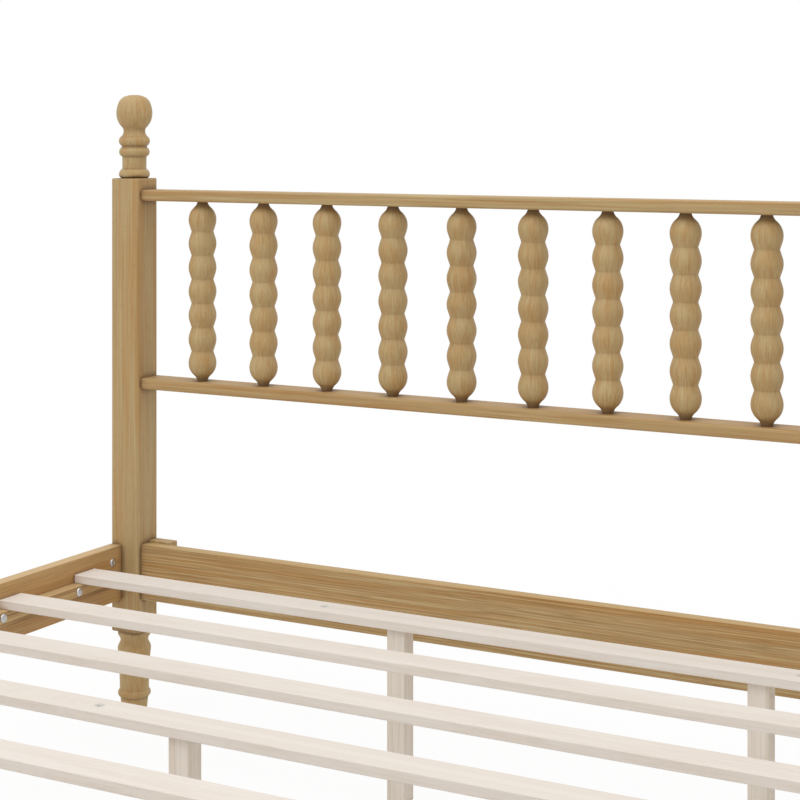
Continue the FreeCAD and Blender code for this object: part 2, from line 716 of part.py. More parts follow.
def make_cleats():
    """One cleat behind each end of both end rails."""
    body = new_body("rail_cleats")
    inner_post_face = clear_across / 2
    section = new_sketch(body, "CleatSection", "XY_Plane", x=inner_post_face - size["cleat_length"] / 2,
                         y=cleat_y, off=cleat_top - size["cleat_height"])
    draw_rectangle(section, size["cleat_length"], size["cleat_thickness"])
    extrude(body, "Pad", section, size["cleat_height"])
    round_edges(body, size["cleat_round"], runs_along("z"))
    rail_holes = new_sketch(body, "RailScrewHoles", "XZ_Plane",
                            x=inner_post_face - size["cleat_rail_screw_in"],
                            y=cleat_z - rail_screw_reach, off=-cleat_y)
    post_holes = new_sketch(body, "PostScrewHoles", "YZ_Plane", x=cleat_y,
                            y=cleat_z - post_screw_reach, off=inner_post_face)
    for sketch, reach, length in ((rail_holes, rail_screw_reach, size["cleat_thickness"]),
                                  (post_holes, post_screw_reach, size["cleat_length"])):
        draw_circle(sketch, size["cleat_screw_radius"] + clearance)
        draw_circle(sketch, size["cleat_screw_radius"] + clearance, reach * 2)
        cut(body, sketch, length * 2, symmetric=True)
    head_room = size["cleat_screw_head_radius"] + clearance
    for recess in draw_cleat_screws(body, "HeadRecess", head_room, 0):
        cut(body, recess, size["cleat_screw_head_depth"], back=True)
    mirror(body, [], "YZ_Plane")
    mirror(body, [], "XZ_Plane")


def draw_cleat_screws(body, name, radius, inset):
    """Two circles on the cleat's back face and two on its end face, both inset into the cleat."""
    inner_post_face = clear_across / 2
    rail_pair = new_sketch(body, f"Rail{name}", "XZ_Plane", x=inner_post_face - size["cleat_rail_screw_in"],
                           y=cleat_z - rail_screw_reach, off=-(cleat_y + size["cleat_thickness"] / 2 - inset))
    post_pair = new_sketch(body, f"Post{name}", "YZ_Plane", x=cleat_y, y=cleat_z - post_screw_reach,
                           off=inner_post_face - size["cleat_length"] + inset)
    for sketch, reach in ((rail_pair, rail_screw_reach), (post_pair, post_screw_reach)):
        draw_circle(sketch, radius)
        draw_circle(sketch, radius, reach * 2)
    return rail_pair, post_pair


def make_cleat_screws():
    """Screws through each cleat: two into the end rail and two into the post."""
    body = new_body("cleat_screws")
    seat = size["cleat_screw_head_depth"]
    rail_shanks, post_shanks = draw_cleat_screws(body, "Shanks", size["cleat_screw_radius"], seat)
    rail_heads, post_heads = draw_cleat_screws(body, "Heads", size["cleat_screw_head_radius"], seat)
    extrude(body, "Pad", rail_shanks, size["cleat_rail_screw_length"] - seat)
    extrude(body, "Pad", post_shanks, size["cleat_post_screw_length"] - seat)
    extrude(body, "Pad", rail_heads, size["cleat_screw_head_height"], back=True)
    extrude(body, "Pad", post_heads, size["cleat_screw_head_height"], back=True)
    mirror(body, [], "YZ_Plane")
    mirror(body, [], "XZ_Plane")


def make_rail_bolts():
    """Bolts from the outer end faces of the posts into the barrel nuts of the side rails."""
    body = new_body("side_rail_bolts")
    head_seat = post_y + post_half - size["rail_bolt_head_depth"]
    tip = post_y - post_half - size["barrel_nut_set_in"] - size["barrel_nut_radius"]
    shank = new_sketch(body, "Shanks", "XZ_Plane", x=side_rail_x, y=low_bolt_z, off=-tip)
    head = new_sketch(body, "Heads", "XZ_Plane", x=side_rail_x, y=low_bolt_z, off=-head_seat)
    for sketch, radius in ((shank, "rail_bolt_radius"), (head, "rail_bolt_head_radius")):
        draw_circle(sketch, size[radius])
        draw_circle(sketch, size[radius], size["rail_bolt_spread"])
    extrude(body, "Pad", shank, head_seat - tip, back=True)
    extrude(body, "Pad", head, size["rail_bolt_head_height"], back=True)
    mirror(body, [], "YZ_Plane")
    mirror(body, [], "XZ_Plane")


def make_barrel_nuts():
    """Crowned barrel nuts across the ends of the side rails, two at each end."""
    body = new_body("barrel_nuts")
    nut_y = clear_along / 2 - size["barrel_nut_set_in"]
    crown_x = side_rail_inner_x - size["barrel_nut_proud"]
    section = new_sketch(body, "NutSection", "YZ_Plane", x=nut_y, y=low_bolt_z, off=crown_x)
    draw_circle(section, size["barrel_nut_radius"])
    draw_circle(section, size["barrel_nut_radius"], size["rail_bolt_spread"])
    extrude(body, "Pad", section, size["barrel_nut_length"])
    round_edges(body, size["barrel_nut_crown"], is_circle_at(crown_x))
    bore = new_sketch(body, "NutBore", "XZ_Plane", x=side_rail_x, y=low_bolt_z, off=-nut_y)
    draw_circle(bore, size["rail_bolt_radius"] + clearance)
    draw_circle(bore, size["rail_bolt_radius"] + clearance, size["rail_bolt_spread"])
    cut(body, bore, size["barrel_nut_radius"] * 4, symmetric=True)
    mirror(body, [], "YZ_Plane")
    mirror(body, [], "XZ_Plane")


def make_ledger_bolts(label, side):
    """Crowned bolts that hold a ledger to its side rail, one beside each slat."""
    body = new_body(label)
    seat_x = (side_rail_inner_x - size["ledger_width"]) * side
    crown_x = seat_x - size["ledger_bolt_head_height"] * side
    head = new_sketch(body, "HeadSection", "YZ_Plane", off=crown_x)
    draw_circle(head, size["ledger_bolt_head_radius"])
    extrude(body, "Pad", head, size["ledger_bolt_head_height"], back=side < 0)
    round_edges(body, size["ledger_bolt_crown"], is_circle_at(crown_x))
    shank = new_sketch(body, "ShankSection", "YZ_Plane", off=seat_x)
    draw_circle(shank, size["ledger_bolt_radius"])
    extrude(body, "Pad", shank, size["ledger_bolt_length"], back=side < 0)
    repeat(body, [], "Y_Axis", size["slat_count"], slat_run, back=True)
    place(body, 0, first_slat_y - size["ledger_bolt_offset"], slat_underside - size["ledger_bolt_drop"])


def build_all():
    for end_name, end, top, rail_heights in ENDS:
        for side_name, side in SIDES:
            make_post(f"{end_name}_post_{side_name}", side, end, top, rail_heights)
            make_finial(f"{end_name}_finial_{side_name}", side, end, top)
        make_thin_rail(f"{end_name}board_top_rail", end, rail_heights[0], spindles_above=False)
        make_thin_rail(f"{end_name}board_lower_rail", end, rail_heights[1], spindles_above=True)
        make_end_rail(f"{end_name}_rail", end)
    for number in range(1, int(size["spindle_count"].value) + 1):
        make_head_spindle(number)
    make_foot_spindles()
    for side_name, side in SIDES:
        make_side_rail(f"side_rail_{side_name}", side)
        make_ledger(f"ledger_{side_name}", side)
        make_ledger_bolts(f"ledger_bolts_{side_name}", side)
    for number in range(1, int(size["slat_count"].value) + 1):
        make_slat(number)
    for row in range(leg_row_count):
        make_legs(row)
    make_cleats()
    make_finial_studs()
    make_leg_studs()
    make_insert_nuts()
    make_cleat_screws()
    make_rail_bolts()
    make_barrel_nuts()


def check_and_write():
    doc.recompute()
    for item in doc.Objects:
        if "Invalid" in item.State or "Error" in item.State:
            raise RuntimeError(f"{item.Label} failed: {item.State}")
    os.makedirs("parts", exist_ok=True)
    for body in subparts:
        shape = body.Shape
        if shape.isNull() or not shape.isValid() or not shape.Solids:
            raise RuntimeError(f"{body.Label} has no valid solid")
        shape.exportStep(f"parts/{body.Label}.step")
        print(body.Label, len(shape.Solids), "solid(s)", len(shape.Faces), "faces",
              round(shape.Volume / 1000, 1), "cm3")


build_all()
check_and_write()
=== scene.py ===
import math
import random

import bpy
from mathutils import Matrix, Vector


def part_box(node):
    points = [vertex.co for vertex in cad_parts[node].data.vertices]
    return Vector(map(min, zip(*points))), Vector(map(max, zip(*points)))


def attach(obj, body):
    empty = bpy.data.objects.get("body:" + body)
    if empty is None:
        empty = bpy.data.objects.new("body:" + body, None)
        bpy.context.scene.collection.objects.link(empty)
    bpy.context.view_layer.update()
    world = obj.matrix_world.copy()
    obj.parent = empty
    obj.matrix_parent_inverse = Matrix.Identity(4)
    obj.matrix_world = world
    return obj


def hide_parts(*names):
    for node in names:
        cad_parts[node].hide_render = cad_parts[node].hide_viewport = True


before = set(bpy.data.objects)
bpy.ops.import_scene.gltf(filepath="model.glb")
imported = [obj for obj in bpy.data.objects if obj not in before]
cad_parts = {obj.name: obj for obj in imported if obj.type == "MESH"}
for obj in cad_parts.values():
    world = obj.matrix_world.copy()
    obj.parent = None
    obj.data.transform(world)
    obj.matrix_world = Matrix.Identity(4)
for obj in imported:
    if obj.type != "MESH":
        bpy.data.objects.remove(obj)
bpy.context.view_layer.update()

mm = 0.001
ends = {"head": 1, "foot": -1}       # the sign of each end's Y
sides = {"left": -1, "right": 1}     # the sign of each side's X


def hexColour(code):
    channels = [int(code[place:place + 2], 16) / 255 for place in (1, 3, 5)]
    linear = [c / 12.92 if c <= 0.04045 else ((c + 0.055) / 1.055) ** 2.4 for c in channels]
    return (*linear, 1.0)


def addNode(tree, kind, settings=None, links=None):
    # settings are node properties, links are inputs: a socket is linked, anything else is its value
    node = tree.nodes.new(kind)
    for name, value in (settings or {}).items():
        setattr(node, name, value)
    for name, value in (links or {}).items():
        if isinstance(value, bpy.types.NodeSocket):
            tree.links.new(value, node.inputs[name])
        else:
            node.inputs[name].default_value = value
    return node


def newMaterial(name):
    material = bpy.data.materials.new(name)
    material.use_nodes = True
    material.node_tree.nodes.clear()
    return material, material.node_tree


def tinted(look, shares):
    # the same figure on another piece of wood: shares of the written red, green and blue
    def tint(code):
        channels = [round(int(code[place:place + 2], 16) * share) for place, share in zip((1, 3, 5), shares)]
        return "#" + "".join(f"{min(channel, 255):02x}" for channel in channels)
    return {**look, "base": tint(look["base"]),
            "layers": [{**layer, "colour": tint(layer["colour"])} for layer in look["layers"]]}


# Pine is read as layers of marks that lie along its grain. Each layer gives how wide and how long
# its marks are in millimetres, the colour it brings, how much of it, and the noise levels between
# which it fades in.
honeyLook = {
    "base": "#b49b6e",
    "layers": [
        {"wide": 24.0, "long": 40.0, "colour": "#ad864f", "share": 0.4, "from": 0.42, "to": 0.6},
        {"wide": 4.0, "long": 60.0, "colour": "#ae7c40", "share": 0.3, "from": 0.49, "to": 0.64},
        {"wide": 1.5, "long": 22.0, "colour": "#9c7747", "share": 0.4, "from": 0.5, "to": 0.64},
        {"wide": 1.6, "long": 26.0, "colour": "#c4b790", "share": 0.3, "from": 0.52, "to": 0.66},
        {"wide": 1.1, "long": 5.0, "colour": "#7b5c37", "share": 0.34, "from": 0.62, "to": 0.76},
    ],
    # the colour of the painted shade in creases and where pieces meet
    "crease": "#6a4e36",
    # m, how much painted shade from an ambient occlusion node gathers where pieces meet and in hollows, and
    # the openness where it starts and is full
    "paintedShadeReach": 0.009, "paintedShadeShare": 0.8, "paintedShadeStart": 0.86, "paintedShadeFull": 0.4,
    "wanderWide": 45.0, "wanderLong": 420.0, "wanderReach": 5.0,   # mm
    "toneSpread": 0.025,       # between one piece and the next
    "fibreWide": 0.9, "fibreLong": 40.0, "relief": 0.00004, "reliefStrength": 0.6,   # mm, mm, m, share
    "roughness": 0.58, "roughnessSpread": 0.05,
    "gloss": 0.32,
    "coat": 0.04, "coatRoughness": 0.4,
    "ior": 1.5,
}
blockLook = {
    **honeyLook,
    "base": "#af966b",
    "layers": [
        {"wide": 13.0, "long": 320.0, "colour": "#ab7e44", "share": 0.52, "from": 0.44, "to": 0.6},
        {"wide": 3.6, "long": 300.0, "colour": "#bbaa83", "share": 0.38, "from": 0.49, "to": 0.63},
        {"wide": 2.2, "long": 140.0, "colour": "#997443", "share": 0.32, "from": 0.5, "to": 0.63},
        {"wide": 1.4, "long": 14.0, "colour": "#9b7443", "share": 0.3, "from": 0.54, "to": 0.68},
        {"wide": 0.9, "long": 6.0, "colour": "#7b5c37", "share": 0.3, "from": 0.64, "to": 0.76},
    ],
    # the painted shade reaches further and is darker on the blocks, round the rails' ends
    "paintedShadeReach": 0.013, "paintedShadeShare": 0.9,
    "wanderWide": 60.0, "wanderLong": 600.0,
}
railLook = {
    **honeyLook,
    "base": "#ad9368",
    "layers": [
        {"wide": 5.5, "long": 420.0, "colour": "#a47841", "share": 0.5, "from": 0.46, "to": 0.6},
        {"wide": 3.4, "long": 300.0, "colour": "#bdaa7d", "share": 0.5, "from": 0.5, "to": 0.64},
        {"wide": 1.9, "long": 160.0, "colour": "#94703f", "share": 0.42, "from": 0.5, "to": 0.64},
        {"wide": 0.9, "long": 5.0, "colour": "#7b5c37", "share": 0.3, "from": 0.66, "to": 0.78},
    ],
}
boardLook = {
    **honeyLook,
    "base": "#ad8f62",
    "layers": [
        {"wide": 22.0, "long": 1000.0, "colour": "#b07c3c", "share": 0.55, "from": 0.4, "to": 0.6},
        {"wide": 1.8, "long": 560.0, "colour": "#8f6c3c", "share": 0.5, "from": 0.5, "to": 0.58},
        {"wide": 1.6, "long": 420.0, "colour": "#c6b388", "share": 0.52, "from": 0.51, "to": 0.6},
        {"wide": 1.4, "long": 60.0, "colour": "#86663a", "share": 0.42, "from": 0.52, "to": 0.64},
        {"wide": 0.9, "long": 6.0, "colour": "#765530", "share": 0.3, "from": 0.66, "to": 0.78},
    ],
    "wanderWide": 70.0, "wanderLong": 700.0, "wanderReach": 6.0,
    # painted light on faces that look upwards: its colour, how much of it, and the rise where it starts and
    # is full
    "paintedTopLight": "#c2a46e", "paintedTopLightShare": 0.55, "paintedTopLightFrom": 0.7, "paintedTopLightTo": 0.95,   # of the normal's rise
}
sideLook = {
    **boardLook,
    "base": "#bc9867",
    "layers": [
        {"wide": 16.0, "long": 900.0, "colour": "#be8a4d", "share": 0.42, "from": 0.43, "to": 0.62},
        {"wide": 2.6, "long": 420.0, "colour": "#9a7442", "share": 0.28, "from": 0.5, "to": 0.62},
        {"wide": 2.2, "long": 300.0, "colour": "#d2b98b", "share": 0.26, "from": 0.52, "to": 0.64},
        {"wide": 1.4, "long": 110.0, "colour": "#8a6638", "share": 0.42, "from": 0.5, "to": 0.66},
    ],
    # less painted shade where the side boards and ledgers meet other pieces
    "paintedShadeShare": 0.3,
    # stronger, paler painted light on the side boards' upward faces
    "paintedTopLight": "#caae82", "paintedTopLightShare": 0.7,
}
ledgerLook = {
    **sideLook,
    "base": "#bb9a68",
    "layers": [
        {"wide": 6.0, "long": 500.0, "colour": "#896138", "share": 0.68, "from": 0.48, "to": 0.58},
        {"wide": 4.0, "long": 380.0, "colour": "#dac08c", "share": 0.6, "from": 0.54, "to": 0.63},
        {"wide": 1.8, "long": 160.0, "colour": "#7a5630", "share": 0.45, "from": 0.5, "to": 0.65},
    ],
}
slatLook = {
    **honeyLook,
    "base": "#ded6cd",
    "layers": [
        {"wide": 20.0, "long": 240.0, "colour": "#d8cbbe", "share": 0.4, "from": 0.42, "to": 0.62},
        {"wide": 3.4, "long": 60.0, "colour": "#e4ddd6", "share": 0.35, "from": 0.46, "to": 0.62},
        {"wide": 2.2, "long": 160.0, "colour": "#cbbdae", "share": 0.2, "from": 0.5, "to": 0.66},
        {"wide": 1.4, "long": 30.0, "colour": "#c3b5a6", "share": 0.2, "from": 0.54, "to": 0.7},
    ],
    # the slats' painted shade is paler and gathers less
    "crease": "#a3937f",
    "paintedShadeReach": 0.006, "paintedShadeShare": 0.25,
    "wanderWide": 50.0, "wanderLong": 500.0, "wanderReach": 8.0,
    "toneSpread": 0.015,
    "relief": 0.00003,
    "roughness": 0.66,
    "coat": 0.0,
}
legLook = {
    **slatLook,
    "base": "#e1d9ce",
    "layers": [
        {"wide": 7.0, "long": 260.0, "colour": "#d6c9ba", "share": 0.5, "from": 0.44, "to": 0.62},
        {"wide": 1.5, "long": 160.0, "colour": "#b2a494", "share": 0.3, "from": 0.5, "to": 0.66},
    ],
}
grainAxes = {"X": (1, 0, 0), "Y": (0, 1, 0), "Z": (0, 0, 1)}
treeJump = (731.0, 517.0, 943.0)     # mm, how far apart in the tree two pieces can lie


def grainMarks(tree, place, axis, wide, long, detail=2.5):
    # noise stretched along the grain, from a place in millimetres
    stretch = tuple(1 / long if on else 1 / wide for on in grainAxes[axis])
    stretched = addNode(tree, "ShaderNodeVectorMath", {"operation": "MULTIPLY"}, {0: place, 1: stretch})
    return addNode(tree, "ShaderNodeTexNoise", {"noise_dimensions": "3D"},
                   {"Vector": stretched.outputs[0], "Scale": 1.0, "Detail": detail, "Roughness": 0.55})


def placeInTree(tree, axis, look):
    # each piece is cut from its own place in the tree, and its grain wanders slowly
    place = addNode(tree, "ShaderNodeAttribute", {"attribute_name": "grain"})
    millimetres = addNode(tree, "ShaderNodeVectorMath", {"operation": "SCALE"},
                          {0: place.outputs["Vector"], "Scale": 1000.0})
    piece = addNode(tree, "ShaderNodeObjectInfo")
    jump = addNode(tree, "ShaderNodeVectorMath", {"operation": "SCALE"},
                   {0: treeJump, "Scale": piece.outputs["Random"]})
    moved = addNode(tree, "ShaderNodeVectorMath", {"operation": "ADD"},
                    {0: millimetres.outputs[0], 1: jump.outputs[0]})
    wander = grainMarks(tree, moved.outputs[0], axis, look["wanderWide"], look["wanderLong"], 2.0)
    centred = addNode(tree, "ShaderNodeVectorMath", {"operation": "SUBTRACT"},
                      {0: wander.outputs["Color"], 1: (0.5, 0.5, 0.5)})
    push = addNode(tree, "ShaderNodeVectorMath", {"operation": "SCALE"},
                   {0: centred.outputs[0], "Scale": look["wanderReach"] * 2})
    settled = addNode(tree, "ShaderNodeVectorMath", {"operation": "ADD"},
                      {0: moved.outputs[0], 1: push.outputs[0]})
    return settled.outputs[0], piece.outputs["Random"]


def makePine(name, axis, look):
    material, tree = newMaterial(name)
    place, pieceRandom = placeInTree(tree, axis, look)
    blend = {"data_type": "RGBA"}      # this node's colour sockets share their names, so they go by number
    fade = {"interpolation_type": "SMOOTHSTEP"}
    colour = hexColour(look["base"])
    for layer in look["layers"]:
        marks = grainMarks(tree, place, axis, layer["wide"], layer["long"])
        share = addNode(tree, "ShaderNodeMapRange", fade,
                        {"Value": marks.outputs["Fac"], "From Min": layer["from"], "From Max": layer["to"],
                         "To Max": layer["share"]})
        colour = addNode(tree, "ShaderNodeMix", blend,
                         {0: share.outputs[0], 6: colour, 7: hexColour(layer["colour"])}).outputs[2]
    tone = addNode(tree, "ShaderNodeMapRange", {},
                   {"Value": pieceRandom, "To Min": 1 - look["toneSpread"], "To Max": 1 + look["toneSpread"]})
    colour = addNode(tree, "ShaderNodeMix", {**blend, "blend_type": "MULTIPLY"},
                     {0: 1.0, 6: colour, 7: tone.outputs[0]}).outputs[2]
    if "paintedTopLight" in look:
        # painted light: faces that look upwards are made paler and yellower, as if lit from above
        facing = addNode(tree, "ShaderNodeNewGeometry")
        upward = addNode(tree, "ShaderNodeSeparateXYZ", {}, {0: facing.outputs["Normal"]})
        share = addNode(tree, "ShaderNodeMapRange", fade,
                        {"Value": upward.outputs["Z"], "From Min": look["paintedTopLightFrom"],
                         "From Max": look["paintedTopLightTo"], "To Max": look["paintedTopLightShare"]})
        colour = addNode(tree, "ShaderNodeMix", blend,
                         {0: share.outputs[0], 6: colour, 7: hexColour(look["paintedTopLight"])}).outputs[2]
    # painted shade: darker in the turned creases, at the ends and where pieces meet, from the shade tones and
    # an ambient occlusion node
    crease = addNode(tree, "ShaderNodeAttribute", {"attribute_name": "crease"})
    openness = addNode(tree, "ShaderNodeAmbientOcclusion", {"samples": 8}, {"Distance": look["paintedShadeReach"]})
    occlusionShade = addNode(tree, "ShaderNodeMapRange", {},
                      {"Value": openness.outputs["AO"], "From Min": look["paintedShadeStart"],
                       "From Max": look["paintedShadeFull"], "To Max": look["paintedShadeShare"]})
    paintedShadeAmount = addNode(tree, "ShaderNodeMath", {"operation": "MAXIMUM"},
                       {0: crease.outputs["Fac"], 1: occlusionShade.outputs[0]})
    colour = addNode(tree, "ShaderNodeMix", blend,
                     {0: paintedShadeAmount.outputs[0], 6: colour, 7: hexColour(look["crease"])}).outputs[2]
    fibres = grainMarks(tree, place, axis, look["fibreWide"], look["fibreLong"], 2.0)
    rough = addNode(tree, "ShaderNodeMapRange", fade,
                    {"Value": fibres.outputs["Fac"], "From Min": 0.3, "From Max": 0.7,
                     "To Min": look["roughness"] + look["roughnessSpread"],
                     "To Max": look["roughness"] - look["roughnessSpread"]})
    relief = addNode(tree, "ShaderNodeBump", {},
                     {"Strength": look["reliefStrength"], "Distance": look["relief"],
                      "Height": fibres.outputs["Fac"]})
    shader = addNode(tree, "ShaderNodeBsdfPrincipled", {},
                     {"Base Color": colour, "Roughness": rough.outputs[0], "IOR": look["ior"],
                      "Specular IOR Level": look["gloss"],
                      "Coat Weight": look["coat"], "Coat Roughness": look["coatRoughness"],
                      "Normal": relief.outputs[0]})
    addNode(tree, "ShaderNodeOutputMaterial", {}, {"Surface": shader.outputs[0]})
    return material


# satin lacquer over turned honey pine: soft upright streaks, pale and orange by turns
turnedPine = makePine("honeyPineTurnedLacquered", "Z", honeyLook)
# the square blocks were planed from the same blanks: straighter and a little browner
blockPine = makePine("honeyPineBlockLacquered", "Z", blockLook)
# the cleats are offcuts of the same stock, and little painted shade gathers round them
cleatPine = makePine("honeyPineCleatLacquered", "Z", {**blockLook, "paintedShadeShare": 0.15})
# planed thin rails: a few long bands and tiny dark flecks; the lower rails are the warmer ones
railPine = makePine("honeyPinePlanedLacquered", "X", railLook)
lowerRailPine = makePine("honeyPinePlanedWarmLacquered", "X", tinted(railLook, (1.0, 0.975, 0.94)))
# sawn boards: close growth lines that bend slowly, orange heart bands
boardPine = makePine("honeyPineBoardLacquered", "X", boardLook)
sidePine = makePine("honeyPineSideBoardLacquered", "Y", sideLook)
# the ledgers were cut from the heart, so they are boldly striped
ledgerPine = makePine("honeyPineHeartwoodLacquered", "Y", ledgerLook)
# bare planed pale pine: matt and creamy, fine lines only
slatPine = makePine("palePinePlanedBare", "X", slatLook)
# the legs' grain stands upright and reads clearer
legPine = makePine("palePineLegPlanedBare", "Z", legLook)

steelLook = {
    "colour": "#dcdde0", "shade": "#c3c5ca",
    "cloudSize": 3.0,          # mm
    "roughness": 0.36, "smoother": 0.05, "rougher": 0.06,
    "markSize": 0.4,           # mm
    "markRelief": 0.000004, "reliefStrength": 0.5,   # m, share
}
dullSteelLook = {
    **steelLook,
    "colour": "#dbd9d3", "shade": "#cbc9c3",
    "roughness": 0.62,
}


def makeSteel(name, look):
    material, tree = newMaterial(name)
    place = addNode(tree, "ShaderNodeTexCoord")
    clouds = addNode(tree, "ShaderNodeTexNoise", {},
                     {"Vector": place.outputs["Object"], "Scale": 1 / (look["cloudSize"] * mm),
                      "Detail": 3.0})
    marks = addNode(tree, "ShaderNodeTexNoise", {},
                    {"Vector": place.outputs["Object"], "Scale": 1 / (look["markSize"] * mm), "Detail": 2.0})
    colour = addNode(tree, "ShaderNodeMix", {"data_type": "RGBA"},
                     {0: clouds.outputs["Fac"], 6: hexColour(look["colour"]), 7: hexColour(look["shade"])})
    rough = addNode(tree, "ShaderNodeMapRange", {},
                    {"Value": clouds.outputs["Fac"], "From Min": 0.3, "From Max": 0.7,
                     "To Min": look["roughness"] - look["smoother"],
                     "To Max": look["roughness"] + look["rougher"]})
    relief = addNode(tree, "ShaderNodeBump", {},
                     {"Strength": look["reliefStrength"], "Distance": look["markRelief"],
                      "Height": marks.outputs["Fac"]})
    shader = addNode(tree, "ShaderNodeBsdfPrincipled", {},
                     {"Base Color": colour.outputs[2], "Metallic": 1.0, "Roughness": rough.outputs[0],
                      "Normal": relief.outputs[0]})
    addNode(tree, "ShaderNodeOutputMaterial", {}, {"Surface": shader.outputs[0]})
    return material


# bright zinc-plated steel, turned: smooth, slightly cloudy plating
platedSteel = makeSteel("zincPlatedSteelTurned", steelLook)
# the insert nuts were only tumbled and dipped, so their faces are flat grey
dullSteel = makeSteel("zincPlatedSteelTumbled", dullSteelLook)
print("materials made")


def shellFromRings(rings, tones, grain=None):
    # rings of equal length, first and last closed with a flat face; tones go to the painted shade attribute,
    # grain holds the places that the wood's figure is read from, the points themselves when not given
    points = [point for ring in rings for point in ring]
    count = len(rings[0])
    faces = [tuple(reversed(range(count)))]
    for level in range(len(rings) - 1):
        base = level * count
        for step in range(count):
            after = (step + 1) % count
            faces.append((base + step, base + after, base + count + after, base + count + step))
    faces.append(tuple(range(len(points) - count, len(points))))
    return points, faces, [tone for tone in tones for step in range(count)], grain or points


def joinShells(shells):
    points, faces, tones, grain = [], [], [], []
    for shellPoints, shellFaces, shellTones, shellGrain in shells:
        start = len(points)
        points += shellPoints
        faces += [tuple(start + corner for corner in face) for face in shellFaces]
        tones += shellTones
        grain += shellGrain
    return points, faces, tones, grain


def meshFromShell(name, shell):
    points, faces, tones, grain = shell
    mesh = bpy.data.meshes.new(name)
    mesh.from_pydata([tuple(point) for point in points], [], faces)
    # the tones are stored as painted shade
    crease = mesh.attributes.new("crease", "FLOAT", "POINT")
    crease.data.foreach_set("value", tones)
    place = mesh.attributes.new("grain", "FLOAT_VECTOR", "POINT")
    place.data.foreach_set("vector", [number for spot in grain for number in spot])
    return mesh


sharpAngles = {"wood": 50.0, "beads": 75.0, "steel": 40.0, "drilled": 40.0}     # degrees


def makePiece(name, shell, material, nodes, sharp="wood", weighted=False):
    mesh = meshFromShell(name, shell)
    mesh.materials.append(material)
    mesh.shade_smooth()
    mesh.set_sharp_from_angle(angle=math.radians(sharpAngles[sharp]))
    piece = bpy.data.objects.new(name, mesh)
    bpy.context.scene.collection.objects.link(piece)
    if weighted:
        steady = piece.modifiers.new("steadyFlats", "WEIGHTED_NORMAL")
        steady.keep_sharp = True
    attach(piece, "root")
    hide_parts(*nodes)
    return piece


def cutHoles(piece, shells):
    # drills the piece with closed shells, then keeps the result as its mesh
    mesh = meshFromShell("drill", joinShells(shells))
    drill = bpy.data.objects.new("drill", mesh)
    bpy.context.scene.collection.objects.link(drill)
    cutter = piece.modifiers.new("drilled", "BOOLEAN")
    cutter.operation = "DIFFERENCE"
    cutter.solver = "EXACT"
    cutter.object = drill
    if len(piece.modifiers) > 1:
        piece.modifiers.move(len(piece.modifiers) - 1, 0)
    weighted = [item for item in piece.modifiers if item.type == "WEIGHTED_NORMAL"]
    for item in weighted:
        item.show_viewport = False
    graph = bpy.context.evaluated_depsgraph_get()
    drilled = bpy.data.meshes.new_from_object(piece.evaluated_get(graph))
    piece.modifiers.remove(cutter)
    for item in weighted:
        item.show_viewport = True
    drilled.name = piece.data.name
    old = piece.data
    piece.data = drilled
    bpy.data.meshes.remove(old)
    bpy.data.objects.remove(drill)
    piece.data.set_sharp_from_angle(angle=math.radians(sharpAngles["drilled"]))


def sampleOutline(corners, step):
    # corners are (radius, height, swell to the next); returns points close together, closest beside corners
    beside, mostBeside = 0.3, 0.2      # mm, and the largest share of a run
    samples = []
    for near, far in zip(corners, corners[1:]):
        start, finish = Vector(near[:2]), Vector(far[:2])
        chord = finish - start
        length = chord.length
        count = max(2, math.ceil(length / step))
        edge = min(beside / length, mostBeside)
        shares = [0.0, edge] + [index / count for index in range(1, count) if edge < index / count < 1 - edge]
        shares.append(1 - edge)
        side = Vector((chord.y, -chord.x)) / length
        swell = near[2]
        for share in shares:
            spot = start + chord * share
            if abs(swell) > 1e-6:
                radius = length * length / (8 * abs(swell)) + abs(swell) / 2
                along = (share - 0.5) * length
                rise = math.sqrt(radius * radius - along * along) - (radius - abs(swell))
                spot += side * math.copysign(rise, swell)
            samples.append((spot.x, spot.y))
    samples.append(corners[-1][:2])
    return samples


def lathe(samples, centre, toneAt, segments=64, turn=0.0, wobble=None):
    # samples are (radius, height) in mm from bottom to top; centre is the bottom's middle in metres
    # the figure is read mostly from a plain cylinder, so that its lines run straight over the beads
    plainShare, ownShare = 0.8, 0.2
    widest = max(radius for radius, height in samples)
    rings, tones, grain = [], [], []
    for radius, height in samples:
        ring = []
        for step in range(segments):
            angle = turn + 2 * math.pi * step / segments
            reach = (radius + (wobble(angle, height) if wobble else 0.0)) * mm
            out = Vector((math.cos(angle), math.sin(angle), 0.0))
            middle = Vector((centre[0], centre[1], centre[2] + height * mm))
            ring.append(middle + out * reach)
            grain.append(middle + out * (plainShare * widest + ownShare * radius) * mm)
        rings.append(ring)
        tones.append(toneAt(height))
    return shellFromRings(rings, tones, grain)


def roundedSection(width, height, radius, steps=5):
    # anticlockwise points of a rounded rectangle about the origin, in metres
    section = []
    for cornerX, cornerY, first in ((1, 1, 0.0), (-1, 1, 0.5), (-1, -1, 1.0), (1, -1, 1.5)):
        middle = Vector((cornerX * (width / 2 - radius), cornerY * (height / 2 - radius)))
        for step in range(steps + 1):
            angle = math.pi * (first + 0.5 * step / steps)
            section.append(middle + Vector((math.cos(angle), math.sin(angle))) * radius)
    return section


# painted shade near the ends: mm from the end, share of the end's tone
paintedEndShade = ((3, 0.55), (6, 0.25), (12, 0.07), (20, 0.0))     # mm from the end, share of the end's tone


